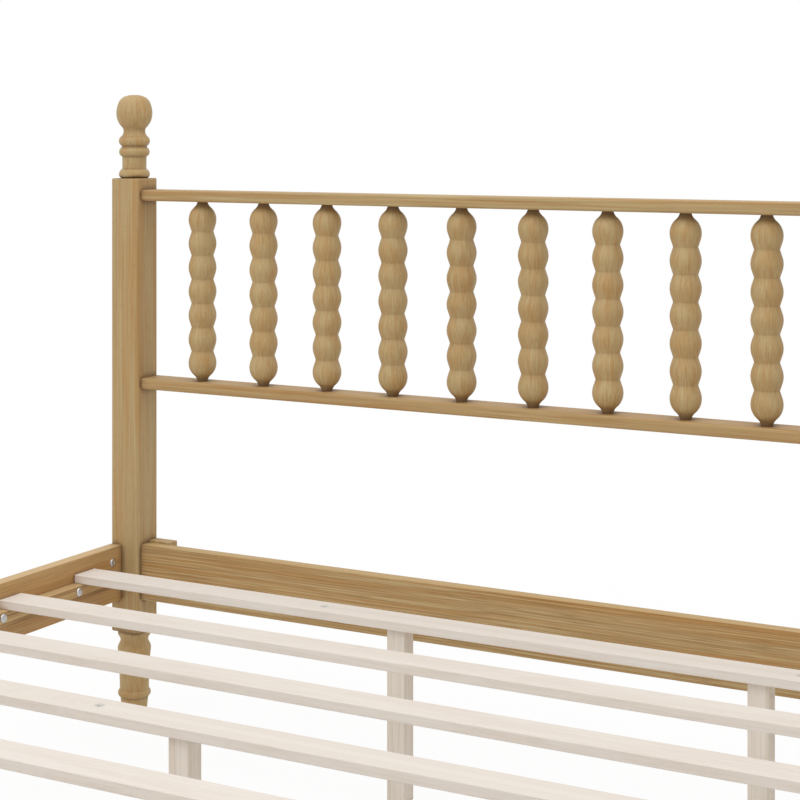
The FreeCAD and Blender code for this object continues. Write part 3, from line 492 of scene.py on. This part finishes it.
def board(low, high, axis, radius, endEase, endTone=0.0, topTone=None):
    # a straight piece with rounded long edges and eased ends; endTone paints shade over the last few
    # millimetres, and topTone, when given, does so at the high end instead
    along = "XYZ".index(axis)
    first, second = [(1, 2), (2, 0), (0, 1)][along]
    width, height = high[first] - low[first], high[second] - low[second]
    middle = Vector((low[first] + high[first], low[second] + high[second])) / 2
    length = high[along] - low[along]
    ease = endEase * mm
    marks = [(0.0, ease, 1.0), (ease * 0.3, ease * 0.3, 1.0), (ease, 0.0, 0.9)]
    marks += [(reach * mm, 0.0, share) for reach, share in paintedEndShade]
    marks = [mark for mark in marks if mark[0] < length / 2]
    places = marks + [(length - reach, inset, share) for reach, inset, share in reversed(marks)]
    rings, tones = [], []
    for index, (reach, inset, share) in enumerate(places):
        section = roundedSection(width - inset * 2, height - inset * 2, max(radius * mm - inset, 0.2 * mm))
        ring = []
        for spot in section:
            point = [0.0, 0.0, 0.0]
            point[along] = low[along] + reach
            point[first] = middle.x + spot.x
            point[second] = middle.y + spot.y
            ring.append(Vector(point))
        rings.append(ring)
        tone = endTone if topTone is None or index < len(marks) else topTone
        tones.append(share * tone)
    return shellFromRings(rings, tones)


def plug(mouth, radius, depth, outward, segments=40):
    # a round plug that drills a hole of the given depth from its mouth inwards
    forward = Vector(outward)
    across = Vector((0, 0, 1)) if abs(forward.z) < 0.5 else Vector((1, 0, 0))
    upward = forward.cross(across)
    turns = [2 * math.pi * step / segments for step in range(segments)]
    return shellFromRings([[mouth + forward * level + across * (math.cos(turn) * radius)
                            + upward * (math.sin(turn) * radius) for turn in turns]
                           for level in (-depth, mm)], [0.0, 0.0])


def paintedShadeBands(spots):
    # spots are (height, reach, depth): a band of painted shade that fades over its reach
    def toneAt(height):
        dark = 0.0
        for place, reach, depth in spots:
            nearness = max(0.0, 1 - abs(height - place) / reach)
            dark = max(dark, depth * nearness * nearness)
        return dark
    return toneAt


# Outlines are in millimetres: radius, height over the bottom, and how far the run to the next swells
# out or, when less than nothing, hollows in.
postShape = {
    "round": 4.0,
    "topEase": 1.6,
    # painted shade at the block's bottom, over the foot, and at its top, under the finial
    "bottomTone": 0.5, "topTone": 0.05,
    "footOverlap": 0.8,        # how far the turned foot goes up into the block
    "sampleStep": 2.0,
    "foot": [(16.1, 0.0, 0.0), (19.0, 28.0, 3.0), (19.8, 38.4, -0.4), (22.1, 89.2, 0.15), (22.8, 95.2, 0.42),
             (20.2, 102.0, -1.75), (21.1, 111.8, 0.35), (22.5, 116.5, 0.0), (21.4, 120.0, 0.0)],
    # painted shade in the foot's grooves and where it meets the block
    "paintedShadeBands": [(28.0, 3.0, 0.45), (38.4, 3.0, 0.08), (105.5, 4.0, 0.08), (120.0, 5.0, 0.75)],
    "boltRecess": 6.7,
    "boltDepth": 5.0,
}
finialShape = {
    "sampleStep": 1.6,
    "outline": [(14.8, 0.0, 1.95), (21.1, 5.2, 1.4), (16.45, 12.8, 0.0), (16.6, 29.6, 3.9), (17.4, 42.4, 0.0),
                (17.1, 44.3, 3.25), (18.9, 56.8, -1.15), (14.9, 64.8, -0.7), (17.0, 70.2, 1.95),
                (24.65, 89.2, 0.8), (21.5, 104.2, 1.85), (9.8, 113.4, 0.3), (3.0, 114.5, 0.0)],
    # painted shade at the finial's base, on the post, and in its grooves
    "paintedShadeBands": [(0.0, 3.0, 0.8), (12.8, 3.0, 0.3), (29.6, 3.0, 0.35), (43.3, 3.0, 0.5), (56.8, 3.0, 0.2),
                (67.0, 8.0, 0.2)],
}
spindleShape = {
    # half a bead from its middle to the valley, then the end bead's way to its neck: radius, height, swell
    "bead": [(18.75, 0.0, 0.375), (17.27, 8.45, 0.0), (14.92, 15.5, -0.03), (14.8, 16.15, 0.0)],
    "taper": [(18.75, 0.0, 1.6), (12.6, 15.2, 0.0), (10.2, 17.4, -0.6), (6.9, 24.1, 0.0)],
    "pitch": 32.3,
    # painted shade at the necks, where they go into the rails, and in the valleys between the beads
    "neckTone": 0.95, "neckReach": 15.0, "valleyTone": 0.06, "valleyReach": 6.0,
    "sunk": 1.0,               # how far each neck goes into its rail
    "handTurned": 0.06, "handLoss": 0.03,   # uneven bead depth, and how much thinner than drawn
    "sampleStep": 2.0,
    "count": 13, "headBeads": 7, "footBeads": 3,
}
# endTone is painted shade where the thin rails meet the posts
railShape = {"round": 2.8, "endEase": 0.3, "endTone": 0.5}
boltRadius = 5.75              # of the ledger bolts' heads and the barrel nuts' ends


def spindleSamples(beadCount):
    half = (beadCount - 1) * spindleShape["pitch"] / 2
    taper = spindleShape["taper"]
    neckHeight = half + taper[-1][1] + spindleShape["sunk"]
    lower = [(radius, -half - height) for radius, height, swell in taper]
    corners = [(taper[-1][0], -neckHeight, 0.0)]
    corners += [(*lower[index], taper[index - 1][2]) for index in range(len(taper) - 1, 0, -1)]
    bead = spindleShape["bead"]
    for index in range(beadCount - 1):
        height = index * spindleShape["pitch"] - half
        corners += [(radius, height + rise, swell) for radius, rise, swell in bead[:-1]]
        over = height + spindleShape["pitch"]
        corners += [(bead[step][0], over - bead[step][1], bead[step - 1][2])
                    for step in range(len(bead) - 1, 0, -1)]
    corners.append((bead[0][0], half, taper[0][2]))
    corners += [(radius, half + height, swell) for radius, height, swell in taper[1:]]
    corners.append((taper[-1][0], neckHeight, 0.0))
    return sampleOutline(corners, spindleShape["sampleStep"])


def makeSpindleShell(centre, beadCount, dice):
    half = (beadCount - 1) * spindleShape["pitch"] / 2
    neckHeight = half + spindleShape["taper"][-1][1]
    # painted shade at both necks and in every valley
    spots = [(sign * neckHeight, spindleShape["neckReach"], spindleShape["neckTone"]) for sign in (-1, 1)]
    spots += [((index + 0.5) * spindleShape["pitch"] - half, spindleShape["valleyReach"],
               spindleShape["valleyTone"]) for index in range(beadCount - 1)]
    depths = [dice.uniform(-1, 1) * spindleShape["handTurned"] for index in range(beadCount + 1)]

    def wobble(angle, height):
        bead = min(max(int((height + half) / spindleShape["pitch"] + 0.5), 0), beadCount)
        crest = math.cos(math.pi * (height + half) / spindleShape["pitch"]) ** 2
        return depths[bead] * crest - spindleShape["handLoss"]

    return lathe(spindleSamples(beadCount), centre, paintedShadeBands(spots), turn=dice.uniform(0, 1), wobble=wobble)


def boltPlaces(side):
    # the middle of a side rail's joints and the heights of their two bolts, read from the CAD boxes
    low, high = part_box(f"side_rail_{side}")
    nutLow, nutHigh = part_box("barrel_nuts")
    radius = boltRadius * mm
    return (low.x + high.x) / 2, (nutLow.z + radius, nutHigh.z - radius)


def makePosts(dice):
    for end, endSign in ends.items():
        for side in sides:
            node = f"{end}_post_{side}"
            low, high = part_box(node)
            footTop = postShape["foot"][-1][1] * mm
            block = board((low.x, low.y, footTop), high, "Z", postShape["round"], postShape["topEase"],
                          postShape["bottomTone"], postShape["topTone"])
            centre = ((low.x + high.x) / 2, (low.y + high.y) / 2, 0.0)
            samples = sampleOutline(postShape["foot"], postShape["sampleStep"])
            samples.append((postShape["foot"][-1][0], postShape["foot"][-1][1] + postShape["footOverlap"]))
            foot = lathe(samples, centre, paintedShadeBands(postShape["paintedShadeBands"]), turn=dice.uniform(0, 1))
            piece = makePiece(f"{end}Post{side.title()}", joinShells([block, foot]), blockPine,
                              [node], weighted=True)
            piece.data.materials.append(turnedPine)
            for face in piece.data.polygons[len(block[1]):]:
                face.material_index = 1
            boltX, heights = boltPlaces(side)
            outer = high.y if endSign > 0 else low.y
            recesses = [plug(Vector((boltX, outer, height)), postShape["boltRecess"] * mm,
                             postShape["boltDepth"] * mm, (0, endSign, 0)) for height in heights]
            cutHoles(piece, recesses)


def makeFinials(dice):
    for end in ends:
        for side in sides:
            node = f"{end}_finial_{side}"
            low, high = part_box(node)
            centre = ((low.x + high.x) / 2, (low.y + high.y) / 2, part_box(f"{end}_post_{side}")[1].z)
            shell = lathe(sampleOutline(finialShape["outline"], finialShape["sampleStep"]), centre,
                          paintedShadeBands(finialShape["paintedShadeBands"]), turn=dice.uniform(0, 1))
            makePiece(f"{end}Finial{side.title()}", shell, turnedPine, [node])


def makeThinRails():
    for end in ends:
        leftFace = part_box(f"{end}_post_left")[1].x
        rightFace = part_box(f"{end}_post_right")[0].x
        for level, wood in (("top", railPine), ("lower", lowerRailPine)):
            node = f"{end}board_{level}_rail"
            low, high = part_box(node)
            shell = board((leftFace, low.y, low.z), (rightFace, high.y, high.z), "X", railShape["round"],
                          railShape["endEase"], railShape["endTone"])
            makePiece(f"{end}board{level.title()}Rail", shell, wood, [node], weighted=True)


def makeSpindles(dice):
    count = spindleShape["count"]
    for number in range(1, count + 1):
        node = f"headboard_spindle_{number:02d}"
        low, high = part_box(node)
        shell = makeSpindleShell((low + high) / 2, spindleShape["headBeads"], dice)
        makePiece(f"headboardSpindle{number:02d}", shell, turnedPine, [node], "beads")
    low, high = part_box("footboard_spindles")
    radius = spindleShape["bead"][0][0] * mm
    first, last = low.x + radius, high.x - radius
    shells = []
    for number in range(count):
        centre = (first + (last - first) * number / (count - 1), (low.y + high.y) / 2, (low.z + high.z) / 2)
        shells.append(makeSpindleShell(centre, spindleShape["footBeads"], dice))
    makePiece("footboardSpindles", joinShells(shells), turnedPine, ["footboard_spindles"],
              "beads")


dice = random.Random(12)
makePosts(dice)
makeFinials(dice)
makeThinRails()
makeSpindles(dice)
print("headboard and footboard made")


# millimetres; a tone is how dark the painted shade is at the ends, from 0 to 1
boardShape = {"round": 1.0, "endEase": 0.4, "endTone": 0.55}
ledgerShape = {"round": 0.9, "endEase": 0.8}
cleatShape = {
    "wide": 35.0, "thick": 18.0, "round": 0.8, "endEase": 0.8,
    "railScrewInset": 14.0, "railScrews": (-22.0, 22.0),
    "postScrewInset": 9.0, "postScrews": (-10.0, 10.0),
    "recessRadius": 4.1, "recessDepth": 2.4,
}


def cleatScrewPlaces():
    # two screws into the rail from behind and two into the post from inside, on each cleat
    low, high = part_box("rail_cleats")
    middle = (low.z + high.z) / 2
    places = []
    for endSign in (-1, 1):
        for sideSign in (-1, 1):
            innerX, backY = sideSign * (high.x - cleatShape["wide"] * mm), endSign * high.y
            for height in cleatShape["railScrews"]:
                places.append((Vector((innerX + sideSign * cleatShape["railScrewInset"] * mm, backY,
                                       middle + height * mm)), Vector((0, endSign, 0))))
            for height in cleatShape["postScrews"]:
                places.append((Vector((innerX, backY - endSign * cleatShape["postScrewInset"] * mm,
                                       middle + height * mm)), Vector((-sideSign, 0, 0))))
    return places


def makeBoards():
    for end in ends:
        shell = board(*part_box(f"{end}_rail"), "X", boardShape["round"], boardShape["endEase"],
                      boardShape["endTone"])
        makePiece(f"{end}Rail", shell, boardPine, [f"{end}_rail"], weighted=True)
    for side in sides:
        shell = board(*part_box(f"side_rail_{side}"), "Y", boardShape["round"], boardShape["endEase"],
                      boardShape["endTone"])
        makePiece(f"sideRail{side.title()}", shell, sidePine, [f"side_rail_{side}"],
                  weighted=True)
        shell = board(*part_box(f"ledger_{side}"), "Y", ledgerShape["round"], ledgerShape["endEase"])
        makePiece(f"ledger{side.title()}", shell, ledgerPine, [f"ledger_{side}"],
                  weighted=True)
    low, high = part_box("rail_cleats")
    shells = []
    for endSign in (-1, 1):
        for sideSign in (-1, 1):
            farX, farY = (high.x if sideSign > 0 else low.x), (high.y if endSign > 0 else low.y)
            nearX = farX - sideSign * cleatShape["wide"] * mm
            nearY = farY - endSign * cleatShape["thick"] * mm
            cornerLow = (min(farX, nearX), min(farY, nearY), low.z)
            cornerHigh = (max(farX, nearX), max(farY, nearY), high.z)
            shells.append(board(cornerLow, cornerHigh, "Z", cleatShape["round"], cleatShape["endEase"]))
    piece = makePiece("railCleats", joinShells(shells), cleatPine, ["rail_cleats"],
                      weighted=True)
    cutHoles(piece, [plug(spot, cleatShape["recessRadius"] * mm, cleatShape["recessDepth"] * mm, outward)
                     for spot, outward in cleatScrewPlaces()])


slatShape = {"count": 13, "round": 1.1, "endEase": 0.9}
# topTone is painted shade at the legs' tops, under the slats
legShape = {"rows": 5, "round": 1.6, "endEase": 0.8, "topTone": 0.1}
insertShape = {
    "slats": (1, 4, 7, 10, 13),
    "radius": 5.25, "bore": 2.3, "chamfer": 0.25,
    "below": 0.15, "gap": 0.1, "seatDepth": 9.0,
    "screwDepth": 1.3, "screwCone": 0.2, "length": 8.0,
}


def insertPlaces():
    # flush insert nuts lie on the middle lines of the slats that stand on legs
    low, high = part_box("slat_insert_nuts")
    radius = insertShape["radius"] * mm
    return low.x + radius, high.x - radius, high.z


def makeSlats():
    leftX, rightX = insertPlaces()[:2]
    for number in range(1, slatShape["count"] + 1):
        low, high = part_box(f"slat_{number:02d}")
        shell = board(low, high, "X", slatShape["round"], slatShape["endEase"])
        piece = makePiece(f"slat{number:02d}", shell, slatPine, [f"slat_{number:02d}"],
                          weighted=True)
        if number in insertShape["slats"]:
            holes = []
            for x in (leftX, rightX):
                spot = Vector((x, (low.y + high.y) / 2, high.z))
                holes.append(plug(spot, (insertShape["radius"] + insertShape["gap"]) * mm,
                                  insertShape["seatDepth"] * mm, (0, 0, 1)))
            cutHoles(piece, holes)


def makeLegs():
    for row in range(1, legShape["rows"] + 1):
        low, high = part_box(f"support_legs_{row}")
        side = high.y - low.y
        shells = []
        for left in (low.x, high.x - side):
            shells.append(board((left, low.y, low.z), (left + side, high.y, high.z), "Z",
                                legShape["round"], legShape["endEase"], topTone=legShape["topTone"]))
        makePiece(f"supportLegs{row}", joinShells(shells), legPine, [f"support_legs_{row}"],
                  weighted=True)


makeBoards()
makeSlats()
makeLegs()
print("boards, slats and legs made")


boltShape = {
    # rings from the rim of the head to the bottom of its socket: radius, height, share of hexagon
    "ledger": [(5.55, 0.0, 0), (5.75, 0.25, 0), (5.75, 0.8, 0), (5.35, 1.5, 0), (4.5, 2.1, 0), (3.4, 2.48, 0),
               (2.4, 2.6, 0), (2.0, 2.56, 1), (1.85, 2.45, 1), (1.7, 2.0, 1)],
    "rail": [(6.3, 0.0, 0), (6.5, 0.2, 0), (6.5, 3.1, 0), (6.2, 3.6, 0), (5.6, 3.9, 0), (3.4, 4.0, 0),
             (3.05, 3.95, 1), (2.95, 3.7, 1), (2.95, 1.2, 1)],
    "nut": [(5.6, 0.0, 0), (5.75, 0.3, 0), (5.6, 0.7, 0), (5.1, 1.15, 0), (4.2, 1.55, 0), (3.2, 1.78, 0),
            (2.3, 1.85, 0), (1.9, 1.81, 1), (1.75, 1.7, 1), (1.6, 1.2, 1)],
    "screw": [(3.8, 0.0, 0), (3.9, 0.2, 0), (3.85, 0.9, 0), (3.4, 1.6, 0), (2.6, 2.05, 0), (1.9, 2.2, 0),
              (1.5, 2.15, 1), (1.4, 1.9, 1), (1.4, 0.6, 1)],
}


def headShell(rings, centre, outward, segments=36):
    # a fastener head whose face looks along outward, a unit vector along X, Y or Z
    forward = Vector(outward)
    across = Vector((0, 0, 1)) if abs(forward.z) < 0.5 else Vector((1, 0, 0))
    upward = forward.cross(across)
    made = []
    for radius, height, hexShare in rings:
        ring = []
        for step in range(segments):
            turn = 2 * math.pi * step / segments
            corner = (turn + math.pi / 6) % (math.pi / 3) - math.pi / 6
            flat = math.cos(math.pi / 6) / math.cos(corner)
            reach = radius * mm * (1 + hexShare * (flat - 1))
            ring.append(centre + across * (math.cos(turn) * reach) + upward * (math.sin(turn) * reach)
                        + forward * (height * mm))
        made.append(ring)
    return shellFromRings(made, [0.0] * len(made))


def makeLedgerBolts():
    for side, sideSign in sides.items():
        low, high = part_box(f"ledger_bolts_{side}")
        ledgerLow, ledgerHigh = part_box(f"ledger_{side}")
        faceX = ledgerLow.x if sideSign > 0 else ledgerHigh.x
        radius = boltRadius * mm
        shells = []
        count = slatShape["count"]
        for index in range(count):
            y = low.y + radius + (high.y - low.y - radius * 2) * index / (count - 1)
            spot = Vector((faceX, y, (low.z + high.z) / 2))
            shells.append(headShell(boltShape["ledger"], spot, (-sideSign, 0, 0)))
        makePiece(f"ledgerBolts{side.title()}", joinShells(shells), platedSteel,
                  [f"ledger_bolts_{side}"], "steel")


def makeRailHardware():
    nutLow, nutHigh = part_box("barrel_nuts")
    nutRadius = boltRadius * mm
    nuts, bolts = [], []
    for side, sideSign in sides.items():
        railLow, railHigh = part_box(f"side_rail_{side}")
        faceX = railLow.x if sideSign > 0 else railHigh.x
        boltX, heights = boltPlaces(side)
        for end, endSign in ends.items():
            nutY = nutHigh.y - nutRadius if endSign > 0 else nutLow.y + nutRadius
            postLow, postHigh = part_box(f"{end}_post_{side}")
            sink = postShape["boltDepth"] * mm
            seat = postHigh.y - sink if endSign > 0 else postLow.y + sink
            for height in heights:
                nuts.append(headShell(boltShape["nut"], Vector((faceX, nutY, height)), (-sideSign, 0, 0)))
                bolts.append(headShell(boltShape["rail"], Vector((boltX, seat, height)), (0, endSign, 0)))
    makePiece("barrelNutEnds", joinShells(nuts), platedSteel, ["barrel_nuts"], "steel")
    makePiece("sideRailBoltHeads", joinShells(bolts), platedSteel, ["side_rail_bolts"],
              "steel")


def makeInserts():
    leftX, rightX, top = insertPlaces()
    level = top - insertShape["below"] * mm
    shells = []
    radius, bore, chamfer = insertShape["radius"], insertShape["bore"], insertShape["chamfer"]
    # the leg's stud closes the bore a little under the nut's rim
    screwDepth = insertShape["screwDepth"]
    rings = [(radius, -insertShape["length"], 0), (radius, -chamfer * 0.5, 0),
             (radius - chamfer * 0.5, 0.0, 0), (bore + chamfer, 0.0, 0), (bore, -chamfer, 0),
             (bore, -screwDepth, 0), (bore * 0.5, -screwDepth + insertShape["screwCone"], 0)]
    for number in insertShape["slats"]:
        low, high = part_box(f"slat_{number:02d}")
        for x in (leftX, rightX):
            shells.append(headShell(rings, Vector((x, (low.y + high.y) / 2, level)), (0, 0, 1)))
    makePiece("slatInsertNuts", joinShells(shells), dullSteel, ["slat_insert_nuts"],
              "steel")


def makeCleatScrews():
    shells = [headShell(boltShape["screw"], spot - outward * cleatShape["recessDepth"] * mm, outward)
              for spot, outward in cleatScrewPlaces()]
    makePiece("cleatScrewHeads", joinShells(shells), platedSteel, ["cleat_screws"],
              "steel")


makeLedgerBolts()
makeRailHardware()
makeInserts()
makeCleatScrews()
for name in ("finial_studs", "leg_studs"):
    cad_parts[name].data.materials.clear()
    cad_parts[name].data.materials.append(platedSteel)
print("fasteners made")


roomLook = {
    "floorReach": 14.0,        # m
    "floorColour": "#f0efed",
    "floorWhiteShare": 0.93,   # of the floor's look under the bed; the rest is its own colour with the shadow
    "floorFadeFrom": 1.3, "floorFadeTo": 2.6,   # m from the middle: beyond, the floor is plain white
    "worldStrength": 0.775,
    "backdropStrength": 1.0,
    "keyPower": 61.0, "keyPlace": (-1.2, -2.6, 4.2),
    "topPower": 42.0, "topPlace": (0.6, 0.4, 4.0),
    "lampSize": 3.0, "lampAim": (0.0, 0.2, 0.3),   # m
}
cameraLook = {
    "sensor": 36.0, "lens": 82.82,
    "shift": -0.3382,          # the photograph keeps its uprights parallel, so the lens is level and shifted
    "place": (0.8413, -1.0546, 0.808), "turn": 28.734,   # m, degrees
    "near": 0.01, "far": 60.0,
}


def makeFloor():
    mesh = bpy.data.meshes.new("floor")
    reach = roomLook["floorReach"]
    mesh.from_pydata([(-reach, -reach, 0), (reach, -reach, 0), (reach, reach, 0), (-reach, reach, 0)], [],
                     [(0, 1, 2, 3)])
    floor = bpy.data.objects.new("floor", mesh)
    bpy.context.scene.collection.objects.link(floor)
    material, tree = newMaterial("palePaintedFloor")
    rays = addNode(tree, "ShaderNodeLightPath")
    matt = addNode(tree, "ShaderNodeBsdfDiffuse", {}, {"Color": hexColour(roomLook["floorColour"])})
    white = addNode(tree, "ShaderNodeEmission", {}, {"Color": (1, 1, 1, 1), "Strength": 1.0})
    place = addNode(tree, "ShaderNodeTexCoord")
    distance = addNode(tree, "ShaderNodeVectorMath", {"operation": "LENGTH"}, {0: place.outputs["Object"]})
    whiteness = addNode(tree, "ShaderNodeMapRange", {"interpolation_type": "SMOOTHSTEP"},
                        {"Value": distance.outputs["Value"], "From Min": roomLook["floorFadeFrom"],
                         "From Max": roomLook["floorFadeTo"], "To Min": roomLook["floorWhiteShare"]})
    share = addNode(tree, "ShaderNodeMath", {"operation": "MULTIPLY"},
                    {0: rays.outputs["Is Camera Ray"], 1: whiteness.outputs[0]})
    mixed = addNode(tree, "ShaderNodeMixShader", {}, {0: share.outputs[0], 1: matt.outputs[0],
                                                      2: white.outputs[0]})
    addNode(tree, "ShaderNodeOutputMaterial", {}, {"Surface": mixed.outputs[0]})
    mesh.materials.append(material)


def makeWorld():
    world = bpy.data.worlds.new("studioDome")
    bpy.context.scene.world = world
    world.use_nodes = True
    tree = world.node_tree
    tree.nodes.clear()
    rays = addNode(tree, "ShaderNodeLightPath")
    seen = addNode(tree, "ShaderNodeMath", {"operation": "MAXIMUM"},
                   {0: rays.outputs["Is Camera Ray"], 1: rays.outputs["Is Glossy Ray"]})
    seen = addNode(tree, "ShaderNodeMath", {"operation": "MAXIMUM"},
                   {0: seen.outputs[0], 1: rays.outputs["Is Transmission Ray"]})
    strength = addNode(tree, "ShaderNodeMapRange", {},
                       {"Value": seen.outputs[0], "To Min": roomLook["worldStrength"],
                        "To Max": roomLook["backdropStrength"]})
    light = addNode(tree, "ShaderNodeBackground", {},
                    {"Color": (1, 1, 1, 1), "Strength": strength.outputs["Result"]})
    addNode(tree, "ShaderNodeOutputWorld", {}, {"Surface": light.outputs[0]})


def makeLamp(name, place, power, size):
    data = bpy.data.lights.new(name, "AREA")
    data.shape = "DISK"
    data.size = size
    data.energy = power
    lamp = bpy.data.objects.new(name, data)
    lamp.location = place
    aim = Vector(roomLook["lampAim"]) - Vector(place)
    lamp.rotation_euler = aim.to_track_quat("-Z", "Y").to_euler()
    bpy.context.scene.collection.objects.link(lamp)


def makeCamera():
    data = bpy.data.cameras.new("photoCamera")
    data.sensor_width = cameraLook["sensor"]
    data.lens = cameraLook["lens"]
    data.shift_y = cameraLook["shift"]
    data.clip_start, data.clip_end = cameraLook["near"], cameraLook["far"]
    camera = bpy.data.objects.new("photoCamera", data)
    camera.location = cameraLook["place"]
    camera.rotation_euler = (math.radians(90), 0, math.radians(cameraLook["turn"]))
    bpy.context.scene.collection.objects.link(camera)
    bpy.context.scene.camera = camera


makeFloor()
makeWorld()
makeLamp("keyLamp", roomLook["keyPlace"], roomLook["keyPower"], roomLook["lampSize"])
makeLamp("topLamp", roomLook["topPlace"], roomLook["topPower"], roomLook["lampSize"])
makeCamera()
bpy.context.scene.view_settings.view_transform = "Standard"
print("room, lamps and camera made")
